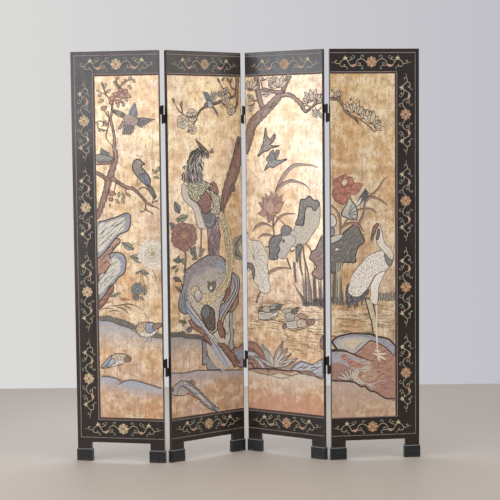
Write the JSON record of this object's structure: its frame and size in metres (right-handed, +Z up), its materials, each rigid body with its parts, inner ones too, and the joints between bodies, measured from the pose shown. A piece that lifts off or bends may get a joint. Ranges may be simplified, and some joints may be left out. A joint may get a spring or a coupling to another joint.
{
  "type": "folding lacquer screen",
  "caption": "Folding lacquer room screen with hinged panels, gilded bird-and-flower fronts, black scroll borders, square legs in metal shoes and loose-pin hinges.",
  "frame": {"origin": "on the floor, under the middle of the screen's box as it stands half folded", "axes": "+Z up, front faces look along -Y, first panel at -X"},
  "size_m": [1.5498, 0.2702, 1.829],
  "materials": {
    "frame_lacquer": "black lacquer over wood, polished",
    "gilded_board": "gold leaf and painted lacquer over a thin board",
    "black_board": "plain black lacquer over a thin board",
    "core_wood": "bare sawn wood",
    "shoe_metal": "black lacquered metal, worn at the upper edge",
    "nail_brass": "dull brass",
    "hinge_iron": "black painted iron",
    "screw_steel": "dull steel"
  },
  "bodies": {
    "panel_1": {"panel_1_left_stile": "frame_lacquer", "panel_1_right_stile": "frame_lacquer", "panel_1_top_rail": "frame_lacquer", "panel_1_bottom_rail": "frame_lacquer", "panel_1_core_planks": "core_wood", "panel_1_front_board": "gilded_board", "panel_1_back_board": "black_board", "panel_1_left_shoe": "shoe_metal", "panel_1_right_shoe": "shoe_metal", "panel_1_shoe_nails": "nail_brass", "panel_1_hinge_screws": "screw_steel", "panel_1_right_leaves": "hinge_iron"},
    "panel_2": {"panel_2_left_stile": "frame_lacquer", "panel_2_right_stile": "frame_lacquer", "panel_2_top_rail": "frame_lacquer", "panel_2_bottom_rail": "frame_lacquer", "panel_2_core_planks": "core_wood", "panel_2_front_board": "gilded_board", "panel_2_back_board": "black_board", "panel_2_left_shoe": "shoe_metal", "panel_2_right_shoe": "shoe_metal", "panel_2_shoe_nails": "nail_brass", "panel_2_hinge_screws": "screw_steel", "panel_2_left_leaves": "hinge_iron", "panel_2_right_leaves": "hinge_iron"},
    "panel_3": {"panel_3_left_stile": "frame_lacquer", "panel_3_right_stile": "frame_lacquer", "panel_3_top_rail": "frame_lacquer", "panel_3_bottom_rail": "frame_lacquer", "panel_3_core_planks": "core_wood", "panel_3_front_board": "gilded_board", "panel_3_back_board": "black_board", "panel_3_left_shoe": "shoe_metal", "panel_3_right_shoe": "shoe_metal", "panel_3_shoe_nails": "nail_brass", "panel_3_hinge_screws": "screw_steel", "panel_3_left_leaves": "hinge_iron", "panel_3_right_leaves": "hinge_iron"},
    "panel_4": {"panel_4_left_stile": "frame_lacquer", "panel_4_right_stile": "frame_lacquer", "panel_4_top_rail": "frame_lacquer", "panel_4_bottom_rail": "frame_lacquer", "panel_4_core_planks": "core_wood", "panel_4_front_board": "gilded_board", "panel_4_back_board": "black_board", "panel_4_left_shoe": "shoe_metal", "panel_4_right_shoe": "shoe_metal", "panel_4_shoe_nails": "nail_brass", "panel_4_hinge_screws": "screw_steel", "panel_4_left_leaves": "hinge_iron"},
    "joint_1_lower_pin": {"joint_1_lower_pin": "hinge_iron"},
    "joint_1_upper_pin": {"joint_1_upper_pin": "hinge_iron"},
    "joint_2_lower_pin": {"joint_2_lower_pin": "hinge_iron"},
    "joint_2_upper_pin": {"joint_2_upper_pin": "hinge_iron"},
    "joint_3_lower_pin": {"joint_3_lower_pin": "hinge_iron"},
    "joint_3_upper_pin": {"joint_3_upper_pin": "hinge_iron"}
  },
  "joints": [
    {"name": "fold_1", "type": "hinge", "parent": "panel_2", "child": "panel_1", "pos_m": [-0.36245, -0.11244, 0], "axis": [0, 0, 1], "range_deg": [-132.8, 47.2]},
    {"name": "fold_2", "type": "hinge", "parent": "panel_2", "child": "panel_3", "pos_m": [-0.00996, 0.11729, 0], "axis": [0, 0, 1], "range_deg": [-111.6, 68.4]},
    {"name": "fold_3", "type": "hinge", "parent": "panel_3", "child": "panel_4", "pos_m": [0.35981, -0.08343, 0], "axis": [0, 0, 1], "range_deg": [-38.8, 141.2]},
    {"name": "lift_joint_1_lower_pin", "type": "slide", "parent": "panel_1", "child": "joint_1_lower_pin", "axis": [0, 0, 1], "range_m": [0, 0.082]},
    {"name": "lift_joint_1_upper_pin", "type": "slide", "parent": "panel_1", "child": "joint_1_upper_pin", "axis": [0, 0, 1], "range_m": [0, 0.082]},
    {"name": "lift_joint_2_lower_pin", "type": "slide", "parent": "panel_3", "child": "joint_2_lower_pin", "axis": [0, 0, 1], "range_m": [0, 0.082]},
    {"name": "lift_joint_2_upper_pin", "type": "slide", "parent": "panel_3", "child": "joint_2_upper_pin", "axis": [0, 0, 1], "range_m": [0, 0.082]},
    {"name": "lift_joint_3_lower_pin", "type": "slide", "parent": "panel_3", "child": "joint_3_lower_pin", "axis": [0, 0, 1], "range_m": [0, 0.082]},
    {"name": "lift_joint_3_upper_pin", "type": "slide", "parent": "panel_3", "child": "joint_3_upper_pin", "axis": [0, 0, 1], "range_m": [0, 0.082]}
  ]
}
